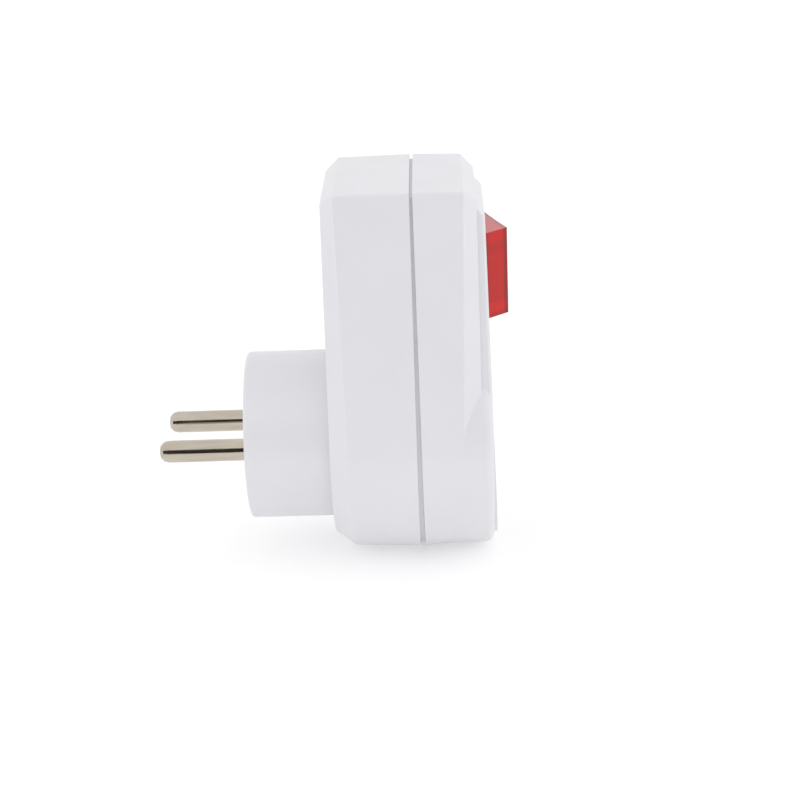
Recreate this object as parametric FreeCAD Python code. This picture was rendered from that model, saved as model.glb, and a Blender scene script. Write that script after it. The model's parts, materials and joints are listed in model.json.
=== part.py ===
"""Plug-in switched socket: a two-shell housing, a pin-earth plug, a socket and a lit rocker switch.

Millimetres. +X runs from the wall to the front, +Y across, +Z up.
The origin is the middle of the plug's face, between its two pins.
"""
import FreeCAD
import Part
import math
import os

Vec = FreeCAD.Vector

# Plug: two round pins in a round neck, and a hole for the wall socket's earth pin
pin_diameter = 4.8
pin_length = 19.0
pin_spacing = 19.0
pin_tip_round = 1.9
pin_root_diameter = 5.4
pin_collar_diameter = 7.4
pin_collar_length = 2.0
pin_tail_diameter = 3.4
clamp_depth = 4.0
earth_offset = 10.0
neck_face_radius = 18.3
neck_root_radius = 18.35
neck_length = 18.5
neck_edge_round = 0.7
neck_face_wall = 3.0
neck_side_wall = 2.4
earth_hole_chamfer = 0.7

# Housing outline seen from the front: a round end about the socket, tapering to a flat top
end_radius = 25.5
top_half_width = 18.8
top_height = 57.95
top_corner_round = 0.3

# Housing depths, from the rear face forwards
rear_depth = 18.47
seam_gap_top = 0.67
seam_gap_bottom = 1.15
front_depth = 13.16
plate_rise = 2.5
ledge_lean_deg = 0.4
plate_lean_deg = 1.45
edge_chamfer = 3.2
chamfer_depth = 4.1
chamfer_growth_deg = 0.7
mould_draft = 0.5
wall = 2.0
seam_groove_depth = 0.9
lip_height = 2.2
plate_margin = 0.7
plate_top_margin = 2.1
plate_bevel = 0.5
collar_margin = 2.9
collar_height = 8.0

# Socket in the front
recess_diameter = 39.0
recess_depth = 15.5
recess_wall = 1.8
recess_mouth_chamfer = 0.8
floor_thickness = 2.6
pin_hole_diameter = 6.0
earth_pin_diameter = 4.8
earth_pin_root_diameter = 5.4
earth_pin_reach = 14.0

# Contacts behind the socket floor
contact_bore_diameter = 5.0
contact_wall = 0.7
contact_length = 10.5
contact_root_length = 2.0
contact_slot = 0.9
contact_flare = 0.8
strap_thickness = 0.8
strap_width = 5.0
sleeve_wall = 0.8
sleeve_slit_margin = 4.0
earth_link_setback = 1.5
earth_link_thickness = 1.2
earth_link_tab_reach = 5.5
carrier_height = 13.0
carrier_wall = 1.6
rib_depth = 5.0
rib_thickness = 1.2
rib_half_height = 4.0
rib_seat = 0.8
guide_thickness = 1.2
guide_half_width = 3.0
spring_foot_thickness = 1.4

# Safety shutter
shutter_thickness = 2.4
shutter_height = 8.0
shutter_travel = 6.9
shutter_notch_half_width = 5.2
shutter_notch_foot = 1.0
shutter_ramp_half_width = 3.2
shutter_ramp_low = -2.6
shutter_ramp_high = 3.4
shutter_spring_diameter = 2.3
shutter_spring_wire = 0.4
shutter_spring_length = 9.8
shutter_spring_turns = 4

# Rocker and switch
rocker_height = 38.25
rocker_width = 18.5
rocker_skirt_radius = 13.85
rocker_end_height = 6.26
rocker_end_half_length = 10.74
rocker_middle_height = 5.95
rocker_hip_height = 0.5
rocker_skirt_depth = 2.6
rocker_wall = 1.4
rocker_end_play = 0.3
rocker_tilt_deg = 16.0
rocker_pivot_depth = 4.2
axle_diameter = 2.6
axle_length = 1.1
post_diameter = 5.2
post_reach = 6.2
plunger_diameter = 2.8
plunger_reach = 8.5
plunger_length = 5.5
switch_wall = 1.1
switch_depth = 14.4
blade_thickness = 0.6
blade_width = 4.0
blade_half_length = 6.6
blade_ratio = 0.5
contact_pad_diameter = 3.0
contact_pad_height = 0.7
contact_gap = 0.25
terminal_width = 4.8
terminal_reach = 2.0
lamp_diameter = 4.0
lamp_length = 9.0

# Circuit board and what is on it
board_thickness = 1.6
board_standoff = 2.0
board_half_width = 13.5
board_top_gap = 1.45
post_width = 3.2
post_margin = 2.5
relay_size = (7.4, 18.0, 10.5)
relay_above_foot = 1.5
film_capacitor_size = (7.0, 12.5, 5.5)
film_capacitor_start = -12.6
film_capacitor_above_relay = 1.1
electrolytic_diameter = 6.3
electrolytic_length = 8.5
electrolytic_middle = 4.6
varistor_diameter = 7.2
varistor_thickness = 2.2
varistor_above_relay = 0.8
varistor_start = 9.2
receiver_size = (1.6, 9.0, 2.8)
receiver_start = -11.5
receiver_above_capacitor = 2.0
receiver_legs = 7
receiver_leg_pitch = 1.27
receiver_leg_width = 0.45
receiver_leg_reach = 0.8
antenna_diameter = 3.8
antenna_wire_depth = 0.7
antenna_length = 9.0
antenna_start = -1.2
antenna_below_edge = 0.8

# Screws
screw_strap_gap = 0.5
screw_switch_gap = 0.6
screw_head_diameter = 5.2
screw_head_height = 1.9
screw_diameter = 2.9
screw_length = 16.0
screw_boss_diameter = 6.0
screw_seat_depth = 2.2
screw_cross_reach = 1.5
screw_cross_width = 0.6
screw_cross_depth = 1.1

# Clearances
pin_fit = 0.05
running_fit = 0.05
seat_fit = 0.1
screw_head_fit = 0.2
screw_shank_fit = 0.15
lap_fit = 0.15
loose_fit = 0.35
root_overlap = 0.5
collar_setback = 0.25

# Places that follow from the sizes above
half_spacing = pin_spacing / 2
rear_face = neck_length
seam_rear = rear_face + rear_depth
seam_front_top = seam_rear + seam_gap_top
ledge_face = seam_front_top + front_depth
plate_face = ledge_face + plate_rise
inner_rear = rear_face + wall
plate_slope = math.tan(math.radians(plate_lean_deg))
inner_front = ledge_face - wall - top_height * math.tan(math.radians(ledge_lean_deg))
recess_floor = plate_face - recess_depth
floor_back = recess_floor - floor_thickness
shutter_front = floor_back - seat_fit
shutter_back = shutter_front - shutter_thickness
carrier_front = shutter_back - loose_fit
contact_front = carrier_front - 0.3
contact_back = contact_front - contact_length
panel_x = plate_face - rocker_height * plate_slope
pivot_x = panel_x - rocker_pivot_depth
blade_pivot_x = pivot_x - plunger_reach - loose_fit - blade_thickness / 2
switch_front = inner_front
switch_back = switch_front - switch_depth
switch_half_length = rocker_skirt_radius + loose_fit + switch_wall
switch_half_width = rocker_width / 2 + rocker_end_play + switch_wall
board_back = inner_rear + board_standoff
board_front = board_back + board_thickness
board_high = top_height - wall - mould_draft - board_top_gap
antenna_low = board_high - antenna_below_edge - antenna_diameter
round_parts_height = antenna_low - loose_fit - electrolytic_diameter / 2
relay_high = round_parts_height - varistor_diameter / 2 - varistor_above_relay
relay_low = relay_high - relay_size[2]
board_low = relay_low - relay_above_foot
film_capacitor_low = relay_high + film_capacitor_above_relay
film_capacitor_high = film_capacitor_low + film_capacitor_size[2]
receiver_low = film_capacitor_high + receiver_above_capacitor
carrier_half_width = half_spacing + contact_bore_diameter / 2 + contact_wall + carrier_wall
screw_seat = rear_face + screw_seat_depth
screw_height = rocker_height - switch_half_width - screw_boss_diameter / 2 - screw_switch_gap
corner_distance = math.hypot(top_half_width, top_height)
side_taper = math.asin(end_radius / corner_distance) - math.atan2(top_half_width, top_height)
neck_bore_radius = neck_face_radius - neck_side_wall
screw_side = half_spacing + strap_width / 2 + screw_strap_gap + screw_boss_diameter / 2
rib_start = carrier_half_width + seat_fit
rib_end = rib_start + rib_thickness


def box(x0, x1, y0, y1, z0, z1):
    """A block between two corners."""
    return Part.makeBox(x1 - x0, y1 - y0, z1 - z0, Vec(x0, y0, z0))


def rod(radius, x0, x1, y=0.0, z=0.0):
    """A cylinder along X."""
    return Part.makeCylinder(radius, x1 - x0, Vec(x0, y, z), Vec(1, 0, 0))


def cone(radius0, radius1, x0, x1, y=0.0, z=0.0):
    """A cone along X."""
    return Part.makeCone(radius0, radius1, x1 - x0, Vec(x0, y, z), Vec(1, 0, 0))


def tube(outer, inner, x0, x1, y=0.0, z=0.0):
    """A round tube along X."""
    return rod(outer, x0, x1, y, z).cut(rod(inner, x0 - 1, x1 + 1, y, z))


def domed_rod(radius, tip_round, foot, tip, y=0.0, z=0.0):
    """A rod along X from its foot to its tip, whose tip is rounded in three steps."""
    way = math.copysign(1.0, tip - foot)
    points = [Vec(foot, 0, 0), Vec(foot, radius, 0)]
    for step in range(4):
        angle = math.radians(30 * step)
        points.append(Vec(tip - way * tip_round * (1 - math.sin(angle)), radius - tip_round * (1 - math.cos(angle)), 0))
    if radius > tip_round:
        points.append(Vec(tip, 0, 0))
    points.append(points[0])
    solid = Part.Face(Part.makePolygon(points)).revolve(Vec(0, 0, 0), Vec(1, 0, 0), 360)
    solid.translate(Vec(0, y, z))
    return solid


def post(half, x0, x1, y, z):
    """A square post along X about a centre."""
    return box(x0, x1, y - half, y + half, z - half, z + half)


def side_box(side, x0, x1, near, far, z0, z1):
    """A block on one side, between two distances from the middle plane."""
    low, high = sorted((side * near, side * far))
    return box(x0, x1, low, high, z0, z1)


def rib_half_length():
    """How far the ribs beside the carrier run up and down, past the neck's bore, onto the rear wall."""
    past_bore = math.sqrt(max(neck_bore_radius ** 2 - rib_end ** 2, 0))
    return max(rib_half_height, past_bore + rib_seat)


def side_y(inset, z):
    """Half width of the straight side at a height, for an outline drawn in by inset."""
    return (end_radius - inset - z * math.sin(side_taper)) / math.cos(side_taper)


def outline(x, inset, lean_deg=0.0, drop=0.0):
    """The housing's outline across X, drawn in by inset; a lean brings its foot forwards, a drop lowers its top."""
    radius = end_radius - inset
    top = top_height - inset - drop
    tangent_y = radius * math.cos(side_taper)
    tangent_z = radius * math.sin(side_taper)
    corner_y = side_y(inset, top)
    corner = top_corner_round
    low_y = corner_y + corner * math.tan(side_taper)
    low_z = top - corner
    points = [Vec(0, -tangent_y, tangent_z), Vec(0, -low_y, low_z), Vec(0, -corner_y + corner, top),
              Vec(0, corner_y - corner, top), Vec(0, low_y, low_z), Vec(0, tangent_y, tangent_z)]
    edges = [Part.makeLine(a, b) for a, b in zip(points, points[1:])]
    edges.append(Part.Arc(points[-1], Vec(0, 0, -radius), points[0]).toShape())
    wire = Part.Wire(edges)
    wire.rotate(Vec(0, 0, 0), Vec(0, 1, 0), -lean_deg)
    wire.translate(Vec(x, 0, 0))
    return wire


def skin(stations):
    """A solid through outlines given as (x, inset, lean, drop)."""
    return Part.makeLoft([outline(*station) for station in stations], True, True)


def seam_lean():
    """How far the front shell's rear rim leans, so that the gap grows downwards."""
    return math.degrees(math.atan((seam_gap_bottom - seam_gap_top) / (top_height + end_radius)))


def seam_front():
    """Where the front shell's rear rim stands at the height of the pins."""
    return seam_front_top + top_height * math.tan(math.radians(seam_lean()))


def rear_outer():
    """The rear shell's outer form."""
    return skin([(rear_face, mould_draft + edge_chamfer),
                 (rear_face + chamfer_depth, mould_draft, chamfer_growth_deg),
                 (seam_rear, 0.0)])


def rear_hollow():
    """The hollow inside the rear shell."""
    inner_chamfer = edge_chamfer * 0.6
    return skin([(inner_rear, mould_draft + wall + inner_chamfer),
                 (inner_rear + inner_chamfer, mould_draft + wall), (seam_rear + 1, wall)])


def front_outer():
    """The front shell's outer form, with its raised plate and the round collar of the socket."""
    body = skin([(seam_front(), 0.0, seam_lean()),
                 (ledge_face - chamfer_depth, mould_draft, -chamfer_growth_deg),
                 (ledge_face, mould_draft + edge_chamfer, ledge_lean_deg)])
    margin = mould_draft + edge_chamfer + plate_margin
    drop = plate_top_margin - plate_margin
    plate = skin([(ledge_face - 1, margin, plate_lean_deg, drop),
                  (plate_face - plate_bevel, margin, plate_lean_deg, drop),
                  (plate_face, margin + plate_bevel, plate_lean_deg, drop)])
    radius = end_radius - collar_margin
    front = plate_face + plate_rise
    collar = rod(radius, ledge_face - chamfer_depth, front)
    collar = collar.common(box(0, front, -radius, radius, -radius, collar_height))
    slope = front_slope(plate_face - collar_setback)
    collar = collar.cut(slope)
    return body.fuse([plate, collar]).removeSplitter()


def front_slope(x):
    """Everything in front of the leaning front plane."""
    reach = top_height + end_radius
    block = box(0, front_depth, -reach, reach, -reach, reach)
    block.rotate(Vec(0, 0, 0), Vec(0, 1, 0), -plate_lean_deg)
    block.translate(Vec(x, 0, 0))
    return block


def front_hollow():
    """The hollow inside the front shell."""
    inner_chamfer = edge_chamfer * 0.6
    return skin([(seam_rear - 1, wall), (inner_front - inner_chamfer, mould_draft + wall),
                 (inner_front, mould_draft + wall + inner_chamfer)])


def neck():
    """The plug's neck, hollow behind its face."""
    shoulder = neck_edge_round * (1 - math.sin(math.radians(45)))
    outer = cone(neck_face_radius, neck_root_radius, neck_edge_round, neck_length + 1)
    outer = outer.fuse([cone(neck_face_radius - neck_edge_round, neck_face_radius - shoulder, 0, shoulder),
                        cone(neck_face_radius - shoulder, neck_face_radius, shoulder, neck_edge_round)])
    return outer, rod(neck_bore_radius, neck_face_wall, inner_rear + 1)


def screw_places():
    """Centres of the two housing screws."""
    return [(side * screw_side, screw_height) for side in (-1, 1)]


def rear_housing():
    """Rear shell: neck, hollow back, screw seats, board posts and the rim that locates the front."""
    neck_outer, neck_hollow = neck()
    shell = rear_outer().cut(rear_hollow()).fuse(neck_outer)
    shell = shell.fuse(locating_rim())
    for y, z in screw_places():
        shell = shell.fuse(post(screw_boss_diameter / 2, rear_face + 1, screw_seat + wall, y, z))
    shell = shell.cut(neck_hollow)
    standing = []
    root = inner_rear - root_overlap
    for side in (-1, 1):
        for z in (board_low + post_margin, board_high - post_margin):
            standing.append(post(post_width / 2, root, board_back, side * (board_half_width - post_margin), z))
        standing.append(side_box(side, root, inner_rear + rib_depth, rib_start, rib_end, -rib_half_length(),
                                 rib_half_length()))
    shell = shell.fuse(standing)
    for side in (-1, 1):
        shell = shell.cut(rod(pin_root_diameter / 2 + pin_fit, -1, neck_face_wall + 1, side * half_spacing))
    shell = shell.cut(rod(contact_bore_diameter / 2, -1, neck_face_wall + 1, 0, earth_offset))
    shell = shell.cut(cone(contact_bore_diameter / 2 + earth_hole_chamfer, contact_bore_diameter / 2, -0.01,
                           earth_hole_chamfer, 0, earth_offset))
    for y, z in screw_places():
        shell = shell.cut(rod(screw_head_diameter / 2 + screw_head_fit, rear_face - 1, screw_seat, y, z))
        shell = shell.cut(rod(screw_diameter / 2 + screw_shank_fit, rear_face, screw_seat + wall + 1, y, z))
    return shell.removeSplitter()


def locating_rim():
    """Inner half of the rear wall, which stands up into the front shell and closes the seam's groove."""
    rim = skin([(seam_rear - 1, seam_groove_depth), (seam_rear + lip_height, seam_groove_depth)])
    return rim.cut(skin([(seam_rear - 2, wall), (seam_rear + lip_height + 1, wall)]))


def rim_rebate():
    """What the front shell's rim leaves free for the rear shell's rim."""
    inset = seam_groove_depth - lap_fit
    return skin([(seam_rear - 1, inset), (seam_rear + lip_height + lap_fit, inset)])


def front_housing():
    """Front shell: raised plate, socket well with its floor, rocker window and screw towers."""
    shell = front_outer().cut(front_hollow()).cut(rim_rebate())
    well_radius = recess_diameter / 2
    slope = front_slope(plate_face - 0.3)
    well = rod(well_radius + recess_wall, floor_back, plate_face).cut(slope)
    shell = shell.fuse(well)
    towers = []
    for y, z in screw_places():
        towers.append(post(screw_boss_diameter / 2, screw_seat + wall + seat_fit, inner_front + 1, y, z))
    shell = shell.fuse(towers)
    shell = shell.cut(rod(well_radius, recess_floor, plate_face + plate_rise))
    mouth = cone(well_radius, well_radius + 2 * recess_mouth_chamfer, plate_face - recess_mouth_chamfer,
                 plate_face + recess_mouth_chamfer)
    shell = shell.cut(mouth)
    for side in (-1, 1):
        shell = shell.cut(rod(pin_hole_diameter / 2, floor_back - 1, recess_floor + 1, side * half_spacing))
        shell = shell.cut(cone(pin_hole_diameter / 2, pin_hole_diameter / 2 + 1.2, recess_floor - 0.6,
                               recess_floor + 0.6, side * half_spacing))
    shell = shell.cut(rod(earth_pin_root_diameter / 2 + pin_fit, floor_back - 1, recess_floor + 1, 0, earth_offset))
    window_half = rocker_skirt_radius + loose_fit
    window_width = rocker_width / 2 + loose_fit
    shell = shell.cut(box(inner_front - 1, plate_face + 3, -window_half, window_half,
                          rocker_height - window_width, rocker_height + window_width))
    for side in (-1, 1):
        z = rocker_height + side * (window_width + 1)
        shell = shell.cut(box(inner_front - 1, bearing_front() + seat_fit, -bearing_half() - seat_fit,
                              bearing_half() + seat_fit, z - 1.5, z + 1.5))
    for y, z in screw_places():
        shell = shell.cut(rod(screw_diameter / 2 - 0.25, screw_seat, screw_seat + screw_length + 1.5, y, z))
    guides = []
    root = floor_back + root_overlap
    for side in (-1, 1):
        guides.append(side_box(side, shutter_back, root, rib_start, rib_start + guide_thickness,
                               -shutter_height / 2 - shutter_travel, shutter_height / 2))
    guides.append(box(shutter_back, root, -guide_half_width, guide_half_width,
                      -spring_foot() - spring_foot_thickness, -spring_foot()))
    shell = shell.fuse(guides)
    return shell.removeSplitter()


def spring_foot():
    """How far below the pins the shutter's spring stands."""
    return shutter_height / 2 + shutter_spring_length


def plug_pin(side):
    """A plug pin with a rounded tip, a thicker root, a collar behind the face and a tail for its strap."""
    y = side * half_spacing
    shaft = domed_rod(pin_diameter / 2, pin_tip_round, 0.0, -pin_length, y)
    root = rod(pin_root_diameter / 2, 0.0, carrier_back_face() + 1.0, y)
    collar = rod(pin_collar_diameter / 2, neck_face_wall, neck_face_wall + pin_collar_length, y)
    tail = rod(pin_tail_diameter / 2, carrier_back_face(), strap_front() + 0.8, y)
    return shaft.fuse([root, collar, tail]).removeSplitter()


def carrier_back_face():
    """Where the clamp that holds the pins ends."""
    return neck_face_wall + pin_collar_length + clamp_depth


def strap_front():
    """Where the straps on the pin tails end."""
    return carrier_back_face() + 1.0 + strap_thickness


def pin_clamp():
    """Insulating disc that presses the pin collars against the plug face."""
    radius = neck_face_radius - neck_side_wall - seat_fit
    disc = rod(radius, neck_face_wall, carrier_back_face())
    for side in (-1, 1):
        y = side * half_spacing
        disc = disc.cut(rod(pin_collar_diameter / 2 + seat_fit, neck_face_wall - 1,
                            neck_face_wall + pin_collar_length, y))
        disc = disc.cut(rod(pin_root_diameter / 2 + pin_fit, neck_face_wall, carrier_back_face() + 1, y))
    disc = disc.cut(rod(sleeve_radius() + seat_fit, neck_face_wall - 1, carrier_back_face() + 1, 0, earth_offset))
    return disc


def sleeve_radius():
    """Outer radius of the sleeve for the wall socket's earth pin."""
    return contact_bore_diameter / 2 + sleeve_wall


def earth_sleeve():
    """Slit sleeve in the plug that grips the wall socket's earth pin."""
    end = inner_rear - earth_link_setback
    sleeve = tube(sleeve_radius(), contact_bore_diameter / 2, neck_face_wall, end, 0, earth_offset)
    slit = box(neck_face_wall - 1, end - sleeve_slit_margin, -contact_slot / 2, contact_slot / 2,
               earth_offset, earth_offset + sleeve_radius() + 1)
    return sleeve.cut(slit)


def earth_link():
    """Bridge from the plug's earth sleeve to the socket's earth pin."""
    start = inner_rear - earth_link_setback
    end = start + earth_link_thickness
    plate = rod(sleeve_radius(), start, end, 0, earth_offset)
    tab = box(start, end, -strap_width / 2, strap_width / 2, earth_offset, earth_offset + earth_link_tab_reach)
    return plate.fuse(tab).removeSplitter()


def earth_pin():
    """Earth pin of the socket, with a domed tip and a foot that stands on the link."""
    start = inner_rear - earth_link_setback + earth_link_thickness
    pin = domed_rod(earth_pin_diameter / 2, pin_tip_round, start, recess_floor + earth_pin_reach, 0, earth_offset)
    root = rod(earth_pin_root_diameter / 2, floor_back - 1, recess_floor, 0, earth_offset)
    flange = rod(earth_pin_root_diameter / 2 + 0.8, floor_back - 1.5, floor_back, 0, earth_offset)
    return pin.fuse([root, flange]).removeSplitter()


def socket_contact(side):
    """Slit tube that grips a plug pin, with a flared mouth."""
    y = side * half_spacing
    inner = contact_bore_diameter / 2
    body = tube(inner + contact_wall, inner, contact_back, contact_front - contact_flare, y)
    mouth = cone(inner + contact_wall, inner + contact_wall + 0.4, contact_front - contact_flare, contact_front, y)
    mouth = mouth.cut(cone(inner, inner + 0.5, contact_front - contact_flare, contact_front + 0.001, y))
    slit = box(contact_back + contact_root_length, contact_front + 1, y - contact_slot / 2, y + contact_slot / 2,
               -carrier_height / 2, carrier_height / 2)
    back = rod(inner + contact_wall, contact_back - strap_thickness, contact_back, y)
    return body.fuse(mouth).cut(slit).fuse(back).removeSplitter()


def contact_carrier():
    """Insulating block round both socket contacts, seated on the rear wall."""
    block = box(inner_rear, carrier_front, -carrier_half_width, carrier_half_width,
                -carrier_height / 2, carrier_height / 2)
    pocket = contact_bore_diameter / 2 + contact_wall + 0.5
    for side in (-1, 1):
        y = side * half_spacing
        block = block.cut(post(pocket, inner_rear - 1, carrier_front + 1, y, 0))
        block = block.cut(box(inner_rear - 1, inner_rear + 2.5, y - strap_width / 2 - 0.3, y + strap_width / 2 + 0.3,
                              -carrier_height, carrier_height))
    gap = strap_width / 2 + 0.3
    block = block.cut(box(board_front - 0.3, board_front + strap_thickness + 0.3,
                          -half_spacing - gap, -half_spacing + gap, 0, carrier_height))
    notch = box(inner_rear - 1, carrier_front + 1, -4.5, 4.5, 2.5, carrier_height)
    return block.cut(notch)


def pin_strap_root(side, low, high):
    """The end of a strap that is riveted on a pin's tail."""
    y = side * half_spacing
    root = box(carrier_back_face() + 1.0, strap_front(), y - strap_width / 2, y + strap_width / 2, low, high)
    return root.cut(rod(pin_tail_diameter / 2 + pin_fit, 0, inner_rear, y))


def neutral_strap():
    """Brass strap from the neutral pin straight to its socket contact."""
    y = half_spacing
    low = -4.0
    run = box(carrier_back_face() + 1.0, contact_back - strap_thickness, y - strap_width / 2, y + strap_width / 2,
              low - strap_thickness, low)
    foot = box(contact_back - 2 * strap_thickness, contact_back - strap_thickness,
               y - strap_width / 2, y + strap_width / 2, low, 2.5)
    return pin_strap_root(1, low, 3.0).fuse([run, foot]).removeSplitter()


def live_strap():
    """Brass strap from the live pin up the back of the housing to the board."""
    y = -half_spacing
    high = 4.0
    rise_x = inner_rear + 1.2
    run = box(carrier_back_face() + 1.0, rise_x, y - strap_width / 2, y + strap_width / 2,
              high, high + strap_thickness)
    rise = box(rise_x - strap_thickness, rise_x, y - strap_width / 2, y + strap_width / 2,
               high, board_low + 0.6)
    tab = box(rise_x - strap_thickness, board_back, y - strap_width / 2, y + strap_width / 2,
              board_low, board_low + 0.6)
    return pin_strap_root(-1, -3.0, high).fuse([run, rise, tab]).removeSplitter()


def load_strap():
    """Brass strap from the board down to the live socket contact."""
    y = -half_spacing
    top = contact_bore_diameter / 2 + contact_wall
    return box(board_front, board_front + strap_thickness, y - strap_width / 2, y + strap_width / 2,
               top + 0.02, board_low + 1.4)


def shutter():
    """Sliding guard behind the socket floor, with a ramp in front of each contact."""
    half = carrier_half_width
    plate = box(shutter_back, shutter_front, -half, half, -shutter_height / 2, shutter_height / 2)
    plate = plate.cut(box(shutter_back - 1, shutter_front + 1, -shutter_notch_half_width, shutter_notch_half_width,
                          shutter_notch_foot, shutter_height))
    for side in (-1, 1):
        y = side * half_spacing - shutter_ramp_half_width
        corners = [Vec(shutter_front + 1, y, shutter_ramp_low), Vec(shutter_front + 1, y, shutter_ramp_high),
                   Vec(shutter_back + 1, y, shutter_ramp_high)]
        profile = Part.makePolygon(corners + corners[:1])
        plate = plate.cut(Part.Face(profile).extrude(Vec(0, 2 * shutter_ramp_half_width, 0)))
    return plate.removeSplitter()


def coil(radius, wire, height, turns):
    """Coil spring up Z, of square wire on edge."""
    corners = []
    for index in range(5):
        angle = math.radians(90 * index)
        corners.append(Vec(radius + wire / 2 * math.cos(angle), 0, wire / 2 * math.sin(angle)))
    section = Part.makePolygon(corners)
    return Part.Wire(Part.makeHelix(height / turns, height, radius)).makePipeShell([section], True, True)


def shutter_spring():
    """Coil spring that pushes the shutter up."""
    radius = (shutter_spring_diameter - shutter_spring_wire) / 2
    height = shutter_spring_length - shutter_spring_wire - 0.2
    middle_x = (carrier_front + floor_back) / 2
    spring = coil(radius, shutter_spring_wire, height, shutter_spring_turns)
    spring.translate(Vec(middle_x, 0, -spring_foot() + shutter_spring_wire / 2 + 0.1))
    return spring


def rocker_profile(inset):
    """Profile of the rocker across Z, as a face: slightly dished top, sloping ends, round skirt."""
    radius = rocker_skirt_radius - inset
    ends = rocker_end_half_length - inset
    top = rocker_end_height - inset
    middle = rocker_middle_height - inset
    hip = rocker_hip_height
    hip_y = math.sqrt(radius ** 2 - hip ** 2)
    foot = -rocker_skirt_depth
    foot_y = math.sqrt(radius ** 2 - foot ** 2)
    edges = [Part.Arc(Vec(top, -ends, 0), Vec(middle, 0, 0), Vec(top, ends, 0)).toShape(),
             Part.makeLine(Vec(top, ends, 0), Vec(hip, hip_y, 0)),
             Part.Arc(Vec(hip, hip_y, 0), Vec(0, radius, 0), Vec(foot, foot_y, 0)).toShape(),
             Part.makeLine(Vec(foot, foot_y, 0), Vec(foot, -foot_y, 0)),
             Part.Arc(Vec(foot, -foot_y, 0), Vec(0, -radius, 0), Vec(hip, -hip_y, 0)).toShape(),
             Part.makeLine(Vec(hip, -hip_y, 0), Vec(top, -ends, 0))]
    return Part.Face(Part.Wire(edges))


def on_pivot(shape, tilt=rocker_tilt_deg):
    """Puts a shape drawn about the rocker's pivot in its place, at its resting tilt."""
    copy = shape.copy()
    copy.rotate(Vec(0, 0, 0), Vec(0, 0, 1), tilt)
    copy.translate(Vec(pivot_x, 0, rocker_height))
    return copy


def rocker():
    """Clear red rocker: a hollow cap with a hollow post and two axle stubs."""
    half = rocker_width / 2
    cap = rocker_profile(0.0).extrude(Vec(0, 0, rocker_width))
    cap.translate(Vec(0, 0, -half))
    hollow = rocker_profile(rocker_wall).extrude(Vec(0, 0, rocker_width - 2 * rocker_wall))
    hollow.translate(Vec(0, 0, -half + rocker_wall))
    below = box(-rocker_skirt_depth - 1, -rocker_skirt_depth + 2, -rocker_skirt_radius + rocker_wall,
                rocker_skirt_radius - rocker_wall, -half + rocker_wall, half - rocker_wall)
    cap = cap.cut(hollow.fuse(below))
    post = rod(post_diameter / 2, -post_reach, rocker_middle_height - rocker_wall + 0.6)
    cap = cap.fuse(post)
    cap = cap.cut(rod(plunger_diameter / 2 + running_fit, -post_reach - 1, 1.0))
    stub = Part.makeCylinder(axle_diameter / 2, rocker_width + 2 * axle_length, Vec(0, 0, -half - axle_length))
    stub = stub.cut(box(-5, 5, -5, 5, -half + rocker_wall, half - rocker_wall))
    return on_pivot(cap.fuse(stub).removeSplitter())


def plunger():
    """Detent plunger that slides in the rocker's post and rides on the contact blade."""
    tip = plunger_diameter / 2
    body = domed_rod(tip, tip, -plunger_reach + plunger_length, -plunger_reach)
    return on_pivot(body.cut(rod(0.9, -plunger_reach + 3.4, 2.0)))


def plunger_spring():
    """Coil spring between the plunger and the top of the post's bore."""
    low = -plunger_reach + plunger_length + 0.05
    high = 1.0 - 0.05
    wire = 0.35
    spring = coil(0.95, wire, high - low - wire, 3)
    spring.rotate(Vec(0, 0, 0), Vec(0, 1, 0), 90)
    spring.translate(Vec(low + wire / 2, 0, 0))
    return on_pivot(spring)


def switch_body():
    """Open moulded box behind the rocker, with bearing holes for its axle stubs."""
    z0 = rocker_height - switch_half_width
    z1 = rocker_height + switch_half_width
    body = box(switch_back, switch_front, -switch_half_length, switch_half_length, z0, z1)
    body = body.cut(box(switch_back + switch_wall, switch_front + 1, -switch_half_length + switch_wall,
                        switch_half_length - switch_wall, z0 + switch_wall, z1 - switch_wall))
    for side in (-1, 1):
        z = rocker_height + side * (switch_half_width - switch_wall / 2)
        body = body.fuse(box(switch_front - 5, bearing_front(), -bearing_half(), bearing_half(),
                             z - switch_wall / 2, z + switch_wall / 2))
    bore = Part.makeCylinder(axle_diameter / 2 + running_fit, 2 * switch_half_width + 2, Vec(pivot_x, 0, z0 - 1))
    body = body.cut(bore)
    for y in terminal_places():
        body = body.cut(box(switch_back - 1, switch_back + switch_wall + 1, y - 0.4, y + 0.4,
                            rocker_height - terminal_width / 2, rocker_height + terminal_width / 2))
    return body


def bearing_front():
    """How far forwards the switch's bearing lugs stand."""
    return pivot_x + axle_diameter / 2 + running_fit + 0.9


def bearing_half():
    """Half width of a bearing lug."""
    return axle_diameter / 2 + running_fit + 1.0


def terminal_places():
    """Where the switch's terminals stand across its back: output and common."""
    return (-blade_half_length + 0.9, 0.0)


def common_terminal():
    """Centre terminal, whose bevelled edge carries the contact blade."""
    y = terminal_places()[1]
    top = blade_pivot_x - blade_thickness / 2 - running_fit
    blade = box(switch_back - terminal_reach, top, y - 0.4, y + 0.4,
                rocker_height - terminal_width / 2, rocker_height + terminal_width / 2)
    rims = [edge for edge in blade.Edges if edge.BoundBox.XMin > top - 0.01 and edge.Length > 1]
    return blade.makeChamfer(0.25, rims)


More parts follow.
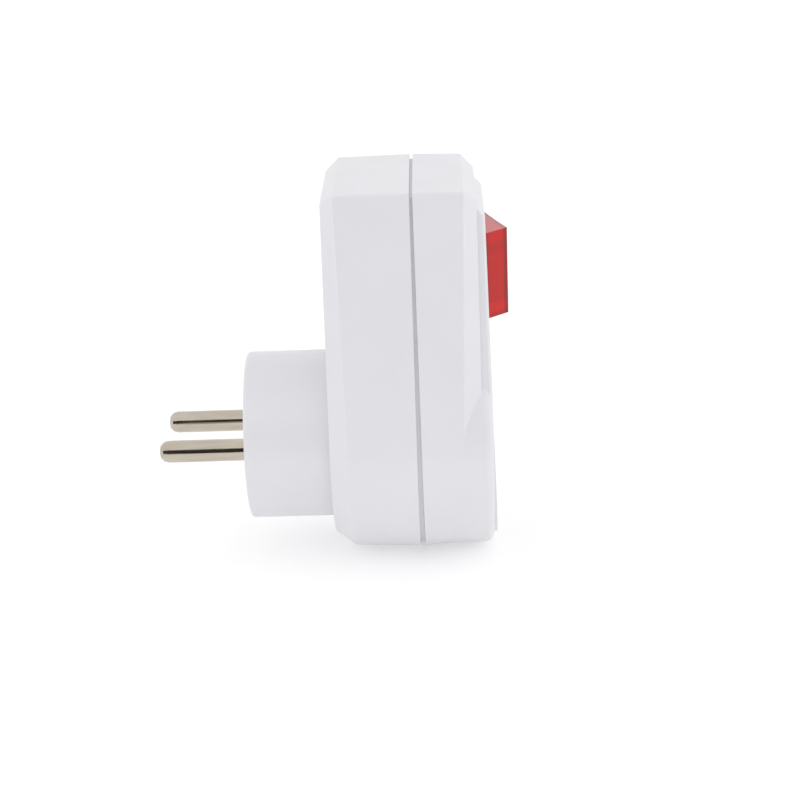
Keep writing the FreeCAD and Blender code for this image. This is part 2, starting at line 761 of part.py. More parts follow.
def output_terminal():
    """Side terminal with the fixed contact under the end of the blade."""
    y = terminal_places()[0]
    angle = math.radians(rocker_tilt_deg * blade_ratio)
    reach = blade_half_length - contact_pad_diameter / 2
    pad_face = blade_pivot_x - reach * math.sin(angle) - (blade_thickness / 2 + contact_pad_height + contact_gap)
    blade = box(switch_back - terminal_reach, pad_face - contact_pad_height, y - 0.4, y + 0.4,
                rocker_height - terminal_width / 2, rocker_height + terminal_width / 2)
    pad = rod(contact_pad_diameter / 2, pad_face - contact_pad_height, pad_face, y, rocker_height)
    return blade.fuse(pad).removeSplitter()


def contact_blade():
    """Rocking contact: a strip on the centre terminal with a pad at its working end."""
    strip = box(-blade_thickness / 2, blade_thickness / 2, -blade_half_length, blade_half_length,
                -blade_width / 2, blade_width / 2)
    pad = rod(contact_pad_diameter / 2, -blade_thickness / 2 - contact_pad_height, -blade_thickness / 2,
              -blade_half_length + contact_pad_diameter / 2)
    blade = strip.fuse(pad).removeSplitter()
    blade.rotate(Vec(0, 0, 0), Vec(0, 0, 1), -rocker_tilt_deg * blade_ratio)
    blade.translate(Vec(blade_pivot_x, 0, rocker_height))
    return blade


def lamp_place():
    """Centre of the lamp, inside the switch under the raised end of the rocker."""
    return switch_back + switch_wall + 2.6 + lamp_diameter / 2, -switch_half_length + switch_wall + 0.8 + lamp_diameter / 2


def lamp():
    """Small glass glow lamp that lies across the switch."""
    x, y = lamp_place()
    glass = Part.makeCylinder(lamp_diameter / 2, lamp_length - 1.5, Vec(x, y, rocker_height - lamp_length / 2))
    nose = Part.makeCone(lamp_diameter / 2, lamp_diameter / 6, 1.8, Vec(x, y, rocker_height + lamp_length / 2 - 1.5))
    return glass.fuse(nose).removeSplitter()


def lamp_holder():
    """Clip on the back of the switch that the lamp lies in."""
    x, y = lamp_place()
    base = box(switch_back + switch_wall, x, y - lamp_diameter / 2 - 0.5, y + lamp_diameter / 2 + 0.5,
               rocker_height - 3.0, rocker_height + 2.0)
    return base.cut(Part.makeCylinder(lamp_diameter / 2 + 0.02, lamp_length, Vec(x, y, rocker_height - lamp_length / 2)))


def circuit_board():
    """Receiver board on four posts in the back of the housing, with its corners cut off."""
    board = box(board_back, board_front, -board_half_width, board_half_width, board_low, board_high)
    corners = [edge for edge in board.Edges if abs(edge.Length - board_thickness) < 0.01]
    board = board.makeChamfer(2.0, corners)
    for y, z in screw_places():
        board = board.cut(post(screw_boss_diameter / 2 + loose_fit, board_back - 1, board_front + 1, y, z))
    return board


def board_block(size, y, z):
    """A block that stands on the board with its low corner at a place."""
    return box(board_front, board_front + size[0], y, y + size[1], z, z + size[2])


def relay():
    """Sealed relay with a moulded step round its foot."""
    body = board_block(relay_size, -relay_size[1] / 2, relay_low)
    upper = [edge for edge in body.Edges if edge.BoundBox.XMin > board_front + relay_size[0] - 0.01]
    return body.makeFillet(0.6, upper)


def film_capacitor():
    """Mains capacitor in a flat case."""
    body = board_block(film_capacitor_size, film_capacitor_start, film_capacitor_low)
    upper = [edge for edge in body.Edges if edge.BoundBox.XMin > board_front + film_capacitor_size[0] - 0.01]
    return body.makeFillet(0.5, upper)


def electrolytic():
    """Round capacitor that stands on the board."""
    return rod(electrolytic_diameter / 2, board_front, board_front + electrolytic_length, electrolytic_middle,
               round_parts_height)


def receiver():
    """Receiver chip with a row of legs on each long side."""
    z = receiver_low
    chip = box(board_front + 0.2, board_front + receiver_size[0], receiver_start, receiver_start + receiver_size[1],
               z, z + receiver_size[2])
    first = receiver_start + (receiver_size[1] - (receiver_legs - 1) * receiver_leg_pitch - receiver_leg_width) / 2
    legs = []
    for index in range(receiver_legs):
        y = first + index * receiver_leg_pitch
        legs.append(box(board_front, board_front + 0.7, y, y + receiver_leg_width, z - receiver_leg_reach,
                        z + receiver_size[2] + receiver_leg_reach))
    return chip.fuse(legs).removeSplitter()


def antenna():
    """Wound antenna rod on its bobbin."""
    half = antenna_diameter / 2
    z = antenna_low + half
    x = board_front + half
    bobbin = Part.makeCylinder(half - antenna_wire_depth, antenna_length, Vec(x, antenna_start, z), Vec(0, 1, 0))
    ends = []
    for y in (antenna_start, antenna_start + antenna_length - 1.0):
        ends.append(box(x - half, x + half, y, y + 1.0, z - half, z + half))
    return bobbin.fuse(ends).removeSplitter()


def varistor():
    """Round surge guard on edge."""
    radius = varistor_diameter / 2
    return Part.makeCylinder(radius, varistor_thickness, Vec(board_front + radius, varistor_start, round_parts_height),
                             Vec(0, 1, 0))


def housing_screws():
    """The two screws that close the housing from the back, with cross recesses."""
    screws = []
    for y, z in screw_places():
        head = rod(screw_head_diameter / 2, screw_seat - screw_head_height, screw_seat, y, z)
        shank = rod(screw_diameter / 2 - 0.3, screw_seat, screw_seat + screw_length, y, z)
        screw = head.fuse(shank).removeSplitter()
        top = screw_seat - screw_head_height
        reach = screw_cross_reach
        half = screw_cross_width / 2
        screw = screw.cut(box(top - 1, top + screw_cross_depth, y - reach, y + reach, z - half, z + half))
        screw = screw.cut(box(top - 1, top + screw_cross_depth, y - half, y + half, z - reach, z + reach))
        screws.append(screw)
    return Part.makeCompound(screws)


def all_parts():
    """Every node of the object and its shape."""
    return {
        "rear_housing": rear_housing(),
        "front_housing": front_housing(),
        "housing_screws": housing_screws(),
        "live_pin": plug_pin(-1),
        "neutral_pin": plug_pin(1),
        "pin_clamp": pin_clamp(),
        "earth_sleeve": earth_sleeve(),
        "earth_link": earth_link(),
        "earth_pin": earth_pin(),
        "live_contact": socket_contact(-1),
        "neutral_contact": socket_contact(1),
        "contact_carrier": contact_carrier(),
        "live_strap": live_strap(),
        "neutral_strap": neutral_strap(),
        "load_strap": load_strap(),
        "shutter": shutter(),
        "shutter_spring": shutter_spring(),
        "rocker": rocker(),
        "plunger": plunger(),
        "plunger_spring": plunger_spring(),
        "switch_body": switch_body(),
        "common_terminal": common_terminal(),
        "output_terminal": output_terminal(),
        "contact_blade": contact_blade(),
        "lamp": lamp(),
        "lamp_holder": lamp_holder(),
        "circuit_board": circuit_board(),
        "relay": relay(),
        "film_capacitor": film_capacitor(),
        "electrolytic_capacitor": electrolytic(),
        "receiver_chip": receiver(),
        "antenna_coil": antenna(),
        "varistor": varistor(),
    }


os.makedirs("parts", exist_ok=True)
for node, shape in all_parts().items():
    shape.exportStep("parts/" + node + ".step")
    print(node, len(shape.Solids), "solids", round(shape.Volume, 1), "mm3", shape.isValid())
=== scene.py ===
"""Plug-in remote control socket: surface finishes, studio light and the photograph's camera."""
import json
import math

import bpy
from mathutils import Matrix, Vector

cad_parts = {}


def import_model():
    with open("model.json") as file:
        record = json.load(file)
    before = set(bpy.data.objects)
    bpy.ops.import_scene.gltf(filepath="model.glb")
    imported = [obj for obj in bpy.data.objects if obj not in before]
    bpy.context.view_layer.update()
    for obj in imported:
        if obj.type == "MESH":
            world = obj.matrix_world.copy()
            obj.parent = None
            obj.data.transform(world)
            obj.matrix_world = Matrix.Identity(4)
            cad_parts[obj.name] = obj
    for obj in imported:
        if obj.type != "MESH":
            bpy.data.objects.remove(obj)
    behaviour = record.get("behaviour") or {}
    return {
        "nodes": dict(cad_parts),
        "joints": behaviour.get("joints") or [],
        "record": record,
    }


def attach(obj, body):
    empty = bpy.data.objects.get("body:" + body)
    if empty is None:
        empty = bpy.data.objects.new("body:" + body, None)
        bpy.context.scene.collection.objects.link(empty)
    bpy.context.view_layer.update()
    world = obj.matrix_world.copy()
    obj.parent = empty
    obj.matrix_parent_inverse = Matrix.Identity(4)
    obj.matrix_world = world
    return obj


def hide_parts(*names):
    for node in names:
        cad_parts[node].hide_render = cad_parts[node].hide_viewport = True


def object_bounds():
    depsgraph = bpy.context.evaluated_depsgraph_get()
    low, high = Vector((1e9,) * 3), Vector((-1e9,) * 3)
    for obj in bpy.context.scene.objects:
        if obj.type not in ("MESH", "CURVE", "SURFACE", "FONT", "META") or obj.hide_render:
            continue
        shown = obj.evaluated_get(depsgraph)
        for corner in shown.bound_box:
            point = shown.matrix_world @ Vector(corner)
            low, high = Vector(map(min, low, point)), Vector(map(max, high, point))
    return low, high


MM = 0.001

# Camera, fitted to the photograph, angles in degrees
CAMERA_AZIMUTH = 1.2
CAMERA_ELEVATION = 19.2
CAMERA_ROLL = -2.1
CAMERA_DISTANCE = 450 * MM
CAMERA_TARGET = Vector((33.28 * MM, 0, 6.99 * MM))
CAMERA_CLIP_START = 10 * MM
PIXELS_PER_MM = 4.55
IMAGE_WIDTH = 800
SENSOR_WIDTH = 36.0

# Light all round, and soft lamps: each one's place from the object's middle in metres, and its power
WORLD_LIGHT = 0.91
WORLD_COLOUR = (0.99, 0.99, 1.0, 1)
PLAIN_WHITE = (1, 1, 1, 1)
LAMP_SIZE = 0.7
LAMPS = (
    ("top_light", (0, 0.5, 0.8), 0.1),
    ("rear_light", (-0.9, -0.1, 0.2), 0.4),
    ("front_light", (0.9, -0.1, 0.2), 0.75),
)

# Floor, in metres: how pale it is and how much it glows, where light bounces off it and where it is seen
FLOOR_SIZE = 4.0
FLOOR_BOUNCE = 0.90
FLOOR_BOUNCE_GLOW = 0.12
FLOOR_SEEN = 0.66
FLOOR_SEEN_GLOW = 0.46
STAGE_ROUGHNESS = 0.9

# Dark room beyond the front of the light tent, in metres
DARK_FRONT_DISTANCE = 0.21
DARK_FRONT_HEIGHT = 0.165
DARK_FRONT_WIDTH = 1.6
DARK_FRONT_COLOUR = (0.03, 0.025, 0.02)

# Colours of the outer plastics, linear
WHITE_PLASTIC = (0.81, 0.805, 0.835)
RED_PLASTIC = (0.84, 0.006, 0.002)
# Darkest painted shade of the clear rocker's red, blended in where the rocker is painted darker
RED_PLASTIC_PAINTED_SHADE = (0.10, 0.012, 0.010)

# Noise of the finishes: its detail, and the values between which nearly all of it lies
NOISE_DETAIL = 3.0
NOISE_LOW = 0.3
NOISE_HIGH = 0.7

# Painted light and shade on the clear rocker, about its hinge: how far its top stands out, half its height,
# its wall, how far out its foot is painted darker, and over which distances these painted shades fade
ROCKER_TILT = 16.0
ROCKER_TOP = 6.26 * MM
ROCKER_HALF_HEIGHT = 9.25 * MM
ROCKER_WALL = 0.9 * MM
ROCKER_WALL_FADE_IN = 0.2 * MM
ROCKER_WALL_FADE_OUT = 0.1 * MM
ROCKER_WALL_SHADE = 0.5
ROCKER_FOOT = 1.2 * MM
ROCKER_FOOT_FADE = 0.2 * MM
ROCKER_FOOT_SHADE = 0.62

# Painted light and shade up the rocker's height: share of the height from below, and share of its colour
ROCKER_PAINTED_LIGHT = (
    (0.0, 0.72), (0.035, 0.74), (0.055, 1.0), (0.14, 1.0), (0.20, 0.80), (0.55, 0.84),
    (0.72, 0.86), (0.79, 0.74), (0.85, 0.76), (0.90, 0.95), (1.0, 0.95),
)

# Top edges of the shells, in millimetres: how far they rise and shift at places along the depth, the heights
# over which that sets in, and how much the sides close in for each millimetre of rise
TOP_RISE = (
    (18.5, 1.05), (21.9, 0.2), (36.97, -0.13), (47.4, 0.2), (50.42, 1.0), (50.44, 1.2), (51.48, -0.05),
)
TOP_SHIFT = (
    (18.5, 0.0), (21.9, -0.6), (30.0, 0.0), (41.0, 0.0), (47.4, 0.65), (50.42, 0.05), (51.48, 0.15),
)
TOP_RISE_LOW = 50.4
TOP_RISE_FULL = 51.3
SIDE_TAPER_SLOPE = 0.1187

# Front of the shells, in millimetres: how far it moves forwards, by height and over which depths
FRONT_SHIFT = 0.05
FRONT_SHIFT_SLOPE = 0.0048
FRONT_SHIFT_START = 47.4
FRONT_SHIFT_FULL = 50.42

# Collar about the socket, in millimetres: its face leans back by COLLAR_LEAN for each millimetre of height
COLLAR_RADIUS = 25.05
COLLAR_START = 44.0
COLLAR_EDGE_START = 51.0
COLLAR_EDGE_END = 53.15
COLLAR_EDGE_DROP = 2.3
COLLAR_EDGE_STEPS = 6
COLLAR_BORE = 20.65
COLLAR_FACE = 53.32
COLLAR_LEAN = 0.0209
COLLAR_STEPS = 128
COLLAR_SHARP_ANGLE = 30


def clamp_colour(colour, factor=1.0):
    """A colour made lighter or darker by a factor, as four numbers."""
    return tuple(min(1.0, channel * factor) for channel in colour) + (1.0,)


class Finish:
    """A Principled material that is given its surface detail step by step."""

    def __init__(self, name, colour, roughness, metallic=0.0, **sockets):
        self.material = bpy.data.materials.new(name)
        self.material.use_nodes = True
        self.nodes = self.material.node_tree.nodes
        self.links = self.material.node_tree.links
        self.shader = self.nodes["Principled BSDF"]
        self.colour = colour
        self.roughness = roughness
        self.shader.inputs["Base Color"].default_value = clamp_colour(colour)
        self.shader.inputs["Roughness"].default_value = roughness
        self.shader.inputs["Metallic"].default_value = metallic
        for socket, value in sockets.items():
            self.shader.inputs[socket.replace("_", " ")].default_value = value

    def noise(self, size_mm, stretch):
        """Noise whose grain is about size_mm across, longer along an axis with stretch above 1."""
        place = self.nodes.new("ShaderNodeTexCoord")
        mapping = self.nodes.new("ShaderNodeMapping")
        mapping.inputs["Scale"].default_value = [1 / along for along in stretch]
        noise = self.nodes.new("ShaderNodeTexNoise")
        noise.inputs["Scale"].default_value = 1 / (size_mm * MM)
        noise.inputs["Detail"].default_value = NOISE_DETAIL
        self.links.new(place.outputs["Object"], mapping.inputs["Vector"])
        self.links.new(mapping.outputs["Vector"], noise.inputs["Vector"])
        return noise.outputs["Fac"]

    def span(self, value, start, end, low, high):
        """A value spread from start..end to low..high."""
        spread = self.nodes.new("ShaderNodeMapRange")
        for name, number in (("From Min", start), ("From Max", end), ("To Min", low), ("To Max", high)):
            spread.inputs[name].default_value = number
        self.links.new(value, spread.inputs["Value"])
        return spread.outputs["Result"]

    def noise_between(self, low, high, size_mm, stretch):
        """Noise spread from low to high."""
        return self.span(self.noise(size_mm, stretch), NOISE_LOW, NOISE_HIGH, low, high)

    def product(self, first, second):
        """Two values multiplied."""
        node = self.nodes.new("ShaderNodeMath")
        node.operation = "MULTIPLY"
        self.links.new(first, node.inputs[0])
        self.links.new(second, node.inputs[1])
        return node.outputs["Value"]

    def places_about(self, origin, turn_deg):
        """Places outwards, across and upwards, in metres, about an origin and turned about Z."""
        place = self.nodes.new("ShaderNodeTexCoord")
        mapping = self.nodes.new("ShaderNodeMapping")
        mapping.vector_type = "TEXTURE"
        mapping.inputs["Location"].default_value = origin
        mapping.inputs["Rotation"].default_value = (0, 0, math.radians(turn_deg))
        parts = self.nodes.new("ShaderNodeSeparateXYZ")
        self.links.new(place.outputs["Object"], mapping.inputs["Vector"])
        self.links.new(mapping.outputs["Vector"], parts.inputs["Vector"])
        return parts.outputs["X"], parts.outputs["Y"], parts.outputs["Z"]

    def curve(self, value, points):
        """A value read off a line through points, as (place, height)."""
        ramp = self.nodes.new("ShaderNodeValToRGB")
        stops = ramp.color_ramp.elements
        while len(stops) < len(points):
            stops.new(0.5)
        for stop, (place, height) in zip(stops, points):
            stop.position = place
            stop.color = (height, height, height, 1)
        self.links.new(value, ramp.inputs["Fac"])
        return ramp.outputs["Color"]

    def blend_colour(self, first, second, factor):
        """Colours the surface from a first to a second colour, as a value goes from 0 to 1."""
        mix = self.nodes.new("ShaderNodeMix")
        mix.data_type = "RGBA"
        mix.inputs["A"].default_value = first
        mix.inputs["B"].default_value = second
        self.links.new(factor, mix.inputs["Factor"])
        self.links.new(mix.outputs["Result"], self.shader.inputs["Base Color"])

    def vary_colour(self, share, size_mm, stretch=(1, 1, 1)):
        """Mottles the colour by a share either way."""
        pattern = self.noise_between(0, 1, size_mm, stretch)
        self.blend_colour(clamp_colour(self.colour, 1 - share), clamp_colour(self.colour, 1 + share), pattern)
        return self

    def vary_roughness(self, amount, size_mm, stretch=(1, 1, 1)):
        """Mottles the roughness by an amount either way."""
        value = self.noise_between(self.roughness - amount, self.roughness + amount, size_mm, stretch)
        self.links.new(value, self.shader.inputs["Roughness"])
        return self

    def grain(self, depth_mm, size_mm, strength, stretch=(1, 1, 1)):
        """Raised grain on the surface."""
        bump = self.nodes.new("ShaderNodeBump")
        bump.inputs["Strength"].default_value = strength
        bump.inputs["Distance"].default_value = depth_mm * MM
        self.links.new(self.noise(size_mm, stretch), bump.inputs["Height"])
        self.links.new(bump.outputs["Normal"], self.shader.inputs["Normal"])
        return self


def white_plastic():
    """Glossy white moulded plastic with a faint flow and a very fine skin."""
    return (Finish("white_plastic", WHITE_PLASTIC, roughness=0.34, IOR=1.5)
            .vary_colour(0.012, size_mm=14)
            .vary_roughness(0.05, size_mm=4)
            .grain(0.004, size_mm=0.6, strength=0.25))


def nickel():
    """Drawn and plated pins, with fine marks along them."""
    return (Finish("nickel", (0.53, 0.48, 0.40), roughness=0.14, metallic=1.0)
            .vary_colour(0.08, size_mm=1.5, stretch=(6, 1, 1))
            .vary_roughness(0.07, size_mm=0.5, stretch=(12, 1, 1))
            .grain(0.004, size_mm=0.25, strength=0.3, stretch=(14, 1, 1)))


def steel_screw():
    """Zinc-plated screw."""
    return (Finish("steel_screw", (0.60, 0.60, 0.62), roughness=0.32, metallic=1.0)
            .vary_colour(0.1, size_mm=0.8)
            .vary_roughness(0.08, size_mm=0.4)
            .grain(0.01, size_mm=0.3, strength=0.4))


def brass():
    """Stamped brass with rolling marks."""
    return (Finish("brass", (0.78, 0.56, 0.24), roughness=0.3, metallic=1.0)
            .vary_colour(0.1, size_mm=1.5, stretch=(1, 1, 5))
            .vary_roughness(0.08, size_mm=0.5, stretch=(1, 1, 8))
            .grain(0.006, size_mm=0.25, strength=0.35, stretch=(1, 1, 10)))


def silver_contact():
    """Silver-faced contact strip."""
    return (Finish("silver_contact", (0.80, 0.72, 0.55), roughness=0.28, metallic=1.0)
            .vary_colour(0.08, size_mm=1.0)
            .vary_roughness(0.07, size_mm=0.4)
            .grain(0.005, size_mm=0.3, strength=0.3))


def red_plastic():
    """Clear red plastic of the lit rocker."""
    return (Finish("red_plastic", RED_PLASTIC, roughness=0.08, IOR=1.46, Transmission_Weight=0.3)
            .vary_roughness(0.02, size_mm=2.0)
            .grain(0.003, size_mm=0.8, strength=0.2))


def paint_rocker_light_and_shade(finish, hinge):
    """Painted light and shade of the clear rocker: painted shade where its walls are seen edge-on and at its
    foot, and painted light at the hollow's ends.
    """
    out, _, up = finish.places_about(hinge["pos_m"], ROCKER_TILT)
    along = finish.span(up, -ROCKER_HALF_HEIGHT, ROCKER_HALF_HEIGHT, 0, 1)
    inner = ROCKER_TOP - ROCKER_WALL
    wall = finish.span(out, inner - ROCKER_WALL_FADE_IN, inner + ROCKER_WALL_FADE_OUT, 1, ROCKER_WALL_SHADE)
    foot = finish.span(out, ROCKER_FOOT - ROCKER_FOOT_FADE, ROCKER_FOOT + ROCKER_FOOT_FADE,
                       ROCKER_FOOT_SHADE, 1)
    light = finish.product(finish.curve(along, ROCKER_PAINTED_LIGHT), finish.product(wall, foot))
    finish.blend_colour(clamp_colour(RED_PLASTIC_PAINTED_SHADE), clamp_colour(RED_PLASTIC), light)


def black_plastic():
    """Dark moulded plastic of the switch and the chip."""
    return (Finish("black_plastic", (0.025, 0.025, 0.028), roughness=0.5)
            .vary_colour(0.25, size_mm=2.0)
            .vary_roughness(0.08, size_mm=0.8)
            .grain(0.01, size_mm=0.2, strength=0.5))


def cream_plastic():
    """Matt heat-proof plastic of the inner mouldings."""
    return (Finish("cream_plastic", (0.70, 0.66, 0.55), roughness=0.55)
            .vary_colour(0.05, size_mm=3.0)
            .vary_roughness(0.08, size_mm=0.8)
            .grain(0.012, size_mm=0.25, strength=0.5))


def spring_steel():
    """Bright spring wire."""
    return (Finish("spring_steel", (0.55, 0.55, 0.57), roughness=0.25, metallic=1.0)
            .vary_colour(0.1, size_mm=0.5)
            .vary_roughness(0.08, size_mm=0.3))


def lamp_glass():
    """Glass of the glow lamp."""
    return (Finish("lamp_glass", (0.98, 0.90, 0.80), roughness=0.04, IOR=1.5, Transmission_Weight=0.9)
            .vary_roughness(0.02, size_mm=1.0))


def board_green():
    """Solder mask over woven board."""
    return (Finish("board_green", (0.02, 0.16, 0.06), roughness=0.35)
            .vary_colour(0.2, size_mm=0.8)
            .vary_roughness(0.08, size_mm=0.6)
            .grain(0.01, size_mm=0.4, strength=0.4))


def relay_blue():
    """Matt relay case."""
    return (Finish("relay_blue", (0.03, 0.10, 0.34), roughness=0.45)
            .vary_colour(0.1, size_mm=2.0)
            .vary_roughness(0.06, size_mm=0.8)
            .grain(0.01, size_mm=0.3, strength=0.4))


def capacitor_yellow():
    """Moulded case of the film capacitor."""
    return (Finish("capacitor_yellow", (0.72, 0.42, 0.04), roughness=0.42)
            .vary_colour(0.08, size_mm=2.0)
            .vary_roughness(0.06, size_mm=0.8)
            .grain(0.01, size_mm=0.3, strength=0.4))


def capacitor_black():
    """Shrunk sleeve of the electrolytic capacitor."""
    return (Finish("capacitor_black", (0.02, 0.025, 0.06), roughness=0.3)
            .vary_colour(0.2, size_mm=2.0)
            .vary_roughness(0.06, size_mm=0.8)
            .grain(0.006, size_mm=0.5, strength=0.4))


def ferrite_grey():
    """Ferrite of the antenna coil."""
    return (Finish("ferrite_grey", (0.06, 0.055, 0.055), roughness=0.6)
            .vary_colour(0.3, size_mm=0.5)
            .vary_roughness(0.1, size_mm=0.4)
            .grain(0.015, size_mm=0.2, strength=0.6))


def varistor_blue():
    """Dipped coating of the varistor."""
    return (Finish("varistor_blue", (0.02, 0.12, 0.30), roughness=0.25)
            .vary_colour(0.15, size_mm=1.5)
            .vary_roughness(0.06, size_mm=0.8)
            .grain(0.03, size_mm=1.2, strength=0.5))


FINISHES = {maker.__name__: maker for maker in (
    white_plastic, nickel, steel_screw, brass, silver_contact, red_plastic, black_plastic, cream_plastic,
    spring_steel, lamp_glass, board_green, relay_blue, capacitor_yellow, capacitor_black, ferrite_grey,
    varistor_blue)}


def dress_nodes(frame):
    """Gives every CAD node the finish of its slot in the record, and returns the materials by slot."""
    made = {}
    for part in frame["record"]["subparts"]:
        slot = part["material_slot"]
        if slot not in made:
            made[slot] = FINISHES[slot]()
        node = frame["nodes"][part["node"]]
        node.data.materials.clear()
        node.data.materials.append(made[slot].material)
    hinge = next(joint for joint in frame["joints"] if joint["name"] == "rocker_hinge")
    # Painted light and shade in the rocker's red
    paint_rocker_light_and_shade(made["red_plastic"], hinge)
    return {slot: finish.material for slot, finish in made.items()}


def add_object(name, data):
    """A new object in the scene."""
    added = bpy.data.objects.new(name, data)
    bpy.context.scene.collection.objects.link(added)
    return added


def dress_piece(piece, body, material):
    """Puts a new piece on a body, with the finish of a slot."""
    piece.data.materials.clear()
    piece.data.materials.append(material)
    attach(piece, body)


def share_between(value, low, high):
    """How far a value has gone from low to high, from 0 to 1."""
    return max(0.0, min(1.0, (value - low) / (high - low)))


def height_on(points, place):
    """Height at a place of a line through points."""
    height = points[0][1]
    for (x0, y0), (x1, y1) in zip(points, points[1:]):
        height += (y1 - y0) * share_between(place, x0, x1)
    return height


def fuller_form(point):
    """Where a point of the shells goes: fuller top edges and a front that leans back less."""
    x, y, z = point / MM
    near_top = share_between(z, TOP_RISE_LOW, TOP_RISE_FULL)
    rise = height_on(TOP_RISE, x) * near_top
    shift = height_on(TOP_SHIFT, x) * near_top
    shift += (FRONT_SHIFT + FRONT_SHIFT_SLOPE * z) * share_between(x, FRONT_SHIFT_START, FRONT_SHIFT_FULL)
    return Vector((x + shift, y - math.copysign(rise * SIDE_TAPER_SLOPE, y), z + rise)) * MM


def make_shell(frame, node_name, name, material):
    """A shell with the node's form, its top edges made fuller, that stands for the node."""
    mesh = frame["nodes"][node_name].data.copy()
    mesh.name = name
    normals = [corner.vector.copy() for corner in mesh.corner_normals]
    faces = [face.normal.copy() for face in mesh.polygons]
    for vertex in mesh.vertices:
        vertex.co = fuller_form(vertex.co)
    mesh.update()
    for face, old in zip(mesh.polygons, faces):
        turn = old.rotation_difference(face.normal)
        for corner in face.loop_indices:
            normals[corner] = (turn @ normals[corner]).normalized()
    mesh.normals_split_custom_set(normals)
    shell = add_object(name, mesh)
    dress_piece(shell, "housing", material)
    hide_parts(node_name)


def collar_profile(angle):
    """The collar's section at an angle about the socket's axis, as (x, radius), from its foot to its bore."""
    face = COLLAR_FACE - COLLAR_LEAN * COLLAR_RADIUS * math.sin(angle)
    section = [(COLLAR_START, COLLAR_BORE), (COLLAR_START, COLLAR_RADIUS)]
    for step in range(COLLAR_EDGE_STEPS + 1):
        turn = math.radians(90 * step / COLLAR_EDGE_STEPS)
        section.append((COLLAR_EDGE_START + (COLLAR_EDGE_END - COLLAR_EDGE_START) * math.sin(turn),
                        COLLAR_RADIUS - COLLAR_EDGE_DROP * (1 - math.cos(turn))))
    section.append((max(face, COLLAR_EDGE_END), COLLAR_RADIUS - COLLAR_EDGE_DROP))
    section.append((face, COLLAR_BORE))
    return section


def make_collar(material):
    """The rounded collar about the socket, as a ring of sections."""
    points, faces = [], []
    for step in range(COLLAR_STEPS):
        angle = math.tau * step / COLLAR_STEPS
        section = collar_profile(angle)
        size = len(section)
        points += [(x * MM, radius * math.cos(angle) * MM, radius * math.sin(angle) * MM)
                   for x, radius in section]
        here = step * size
        after = (step + 1) % COLLAR_STEPS * size
        for place in range(size):
            beside = (place + 1) % size
            faces.append((here + place, here + beside, after + beside, after + place))
    mesh = bpy.data.meshes.new("socket_collar")
    mesh.from_pydata(points, [], faces)
    mesh.shade_smooth()
    mesh.set_sharp_from_angle(angle=math.radians(COLLAR_SHARP_ANGLE))
    collar = add_object("socket_collar", mesh)
    dress_piece(collar, "housing", material)


def make_camera():
    """Camera of the photograph, a little rolled, because the object leans a little in it."""
    azimuth = math.radians(CAMERA_AZIMUTH)
    elevation = math.radians(CAMERA_ELEVATION)
    roll = math.radians(CAMERA_ROLL)
    back = Vector((math.sin(azimuth) * math.cos(elevation), -math.cos(azimuth) * math.cos(elevation),
                   math.sin(elevation)))
    right = (-back).cross(Vector((0, 0, 1))).normalized()
    up = right.cross(-back)
    rolled_right = math.cos(roll) * right + math.sin(roll) * up
    rolled_up = -math.sin(roll) * right + math.cos(roll) * up
    place = CAMERA_TARGET + CAMERA_DISTANCE * back
    camera = add_object("camera", bpy.data.cameras.new("camera"))
    camera.matrix_world = Matrix((
        (rolled_right.x, rolled_up.x, back.x, place.x),
        (rolled_right.y, rolled_up.y, back.y, place.y),
        (rolled_right.z, rolled_up.z, back.z, place.z),
        (0, 0, 0, 1)))
    camera.data.sensor_width = SENSOR_WIDTH
    camera.data.lens = PIXELS_PER_MM * CAMERA_DISTANCE / MM / IMAGE_WIDTH * SENSOR_WIDTH
    camera.data.clip_start = CAMERA_CLIP_START
    bpy.context.scene.camera = camera


def seen_directly(nodes, links):
    """1 for camera, glossy and transmission rays, else 0."""
    path = nodes.new("ShaderNodeLightPath")
    total = path.outputs["Is Camera Ray"]
    for name in ("Is Glossy Ray", "Is Transmission Ray"):
        larger = nodes.new("ShaderNodeMath")
        larger.operation = "MAXIMUM"
        links.new(total, larger.inputs[0])
        links.new(path.outputs[name], larger.inputs[1])
        total = larger.outputs["Value"]
    return total


def make_world():
    """Soft even light all round; the camera, mirrors and clear plastic see plain white."""
    world = bpy.data.worlds.new("studio")
    world.use_nodes = True
    nodes, links = world.node_tree.nodes, world.node_tree.links
    background = nodes["Background"]
    background.inputs["Color"].default_value = WORLD_COLOUR
    background.inputs["Strength"].default_value = WORLD_LIGHT
    plain = nodes.new("ShaderNodeBackground")
    plain.inputs["Color"].default_value = PLAIN_WHITE
    mix = nodes.new("ShaderNodeMixShader")
    links.new(seen_directly(nodes, links), mix.inputs["Fac"])
    links.new(background.outputs["Background"], mix.inputs[1])
    links.new(plain.outputs["Background"], mix.inputs[2])
    links.new(mix.outputs["Shader"], nodes["World Output"].inputs["Surface"])
    bpy.context.scene.world = world


def flat_piece(name, corners):
    """A stage piece with four corners."""
    mesh = bpy.data.meshes.new(name)
    mesh.from_pydata(corners, [], [(0, 1, 2, 3)])
    piece = add_object(name, mesh)
    return piece


def glowing(finish, surface, strength):
    """A surface with a little light of its own added."""
    glow = finish.nodes.new("ShaderNodeEmission")
    glow.inputs["Color"].default_value = PLAIN_WHITE
    glow.inputs["Strength"].default_value = strength
    add = finish.nodes.new("ShaderNodeAddShader")
    finish.links.new(surface, add.inputs[0])
    finish.links.new(glow.outputs["Emission"], add.inputs[1])
    return add.outputs["Shader"]


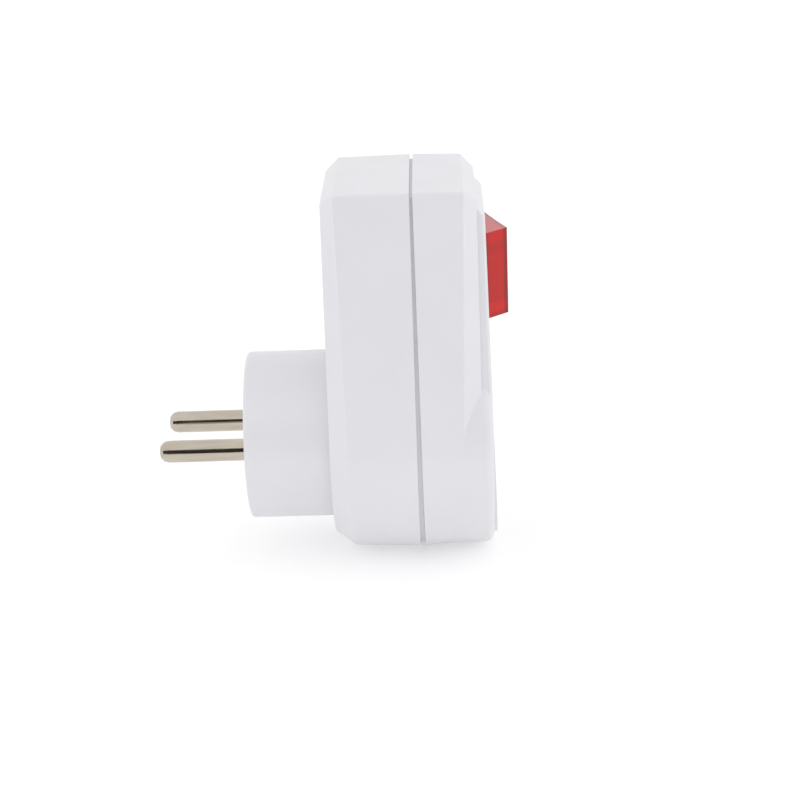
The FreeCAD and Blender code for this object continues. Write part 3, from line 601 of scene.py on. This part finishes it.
def make_floor(height):
    """White floor that keeps the object's shadow; seen directly it is closer to plain white."""
    half = FLOOR_SIZE / 2
    floor = flat_piece("floor", [(-half, -half, height), (half, -half, height), (half, half, height),
                                 (-half, half, height)])
    finish = Finish("floor", (FLOOR_BOUNCE,) * 3, STAGE_ROUGHNESS, Specular_IOR_Level=0.0)
    nodes, links = finish.nodes, finish.links
    matt = nodes.new("ShaderNodeBsdfDiffuse")
    matt.inputs["Color"].default_value = (FLOOR_SEEN,) * 3 + (1,)
    mix = nodes.new("ShaderNodeMixShader")
    links.new(seen_directly(nodes, links), mix.inputs["Fac"])
    links.new(glowing(finish, finish.shader.outputs["BSDF"], FLOOR_BOUNCE_GLOW), mix.inputs[1])
    links.new(glowing(finish, matt.outputs["BSDF"], FLOOR_SEEN_GLOW), mix.inputs[2])
    links.new(mix.outputs["Shader"], nodes["Material Output"].inputs["Surface"])
    floor.data.materials.append(finish.material)


def make_dark_front(height):
    """The dark room in front of the light tent, which only reflections show."""
    half = DARK_FRONT_WIDTH / 2
    y = -DARK_FRONT_DISTANCE
    top = height + DARK_FRONT_HEIGHT
    card = flat_piece("dark_front", [(-half, y, height), (half, y, height), (half, y, top), (-half, y, top)])
    card.visible_camera = False
    card.visible_diffuse = False
    card.visible_transmission = False
    card.visible_shadow = False
    card.data.materials.append(Finish("dark_front", DARK_FRONT_COLOUR, STAGE_ROUGHNESS).material)


def make_light(name, place, target, power):
    """A soft square lamp that looks at a point."""
    lamp = bpy.data.lights.new(name, "AREA")
    lamp.size = LAMP_SIZE
    lamp.energy = power
    holder = add_object(name, lamp)
    holder.location = place
    holder.rotation_euler = (target - place).to_track_quat("-Z", "Y").to_euler()
    holder.visible_glossy = False


def main():
    """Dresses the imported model, and puts it on its floor in the light and before the camera."""
    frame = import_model()
    cad_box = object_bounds()
    bpy.context.scene.view_settings.view_transform = "Standard"
    materials = dress_nodes(frame)
    make_shell(frame, "rear_housing", "rear_shell", materials["white_plastic"])
    make_shell(frame, "front_housing", "front_shell", materials["white_plastic"])
    make_collar(materials["white_plastic"])
    make_camera()
    make_world()
    make_floor(cad_box[0][2])
    make_dark_front(cad_box[0][2])
    middle = (cad_box[0] + cad_box[1]) / 2
    for name, offset, power in LAMPS:
        make_light(name, middle + Vector(offset), middle, power)


main()
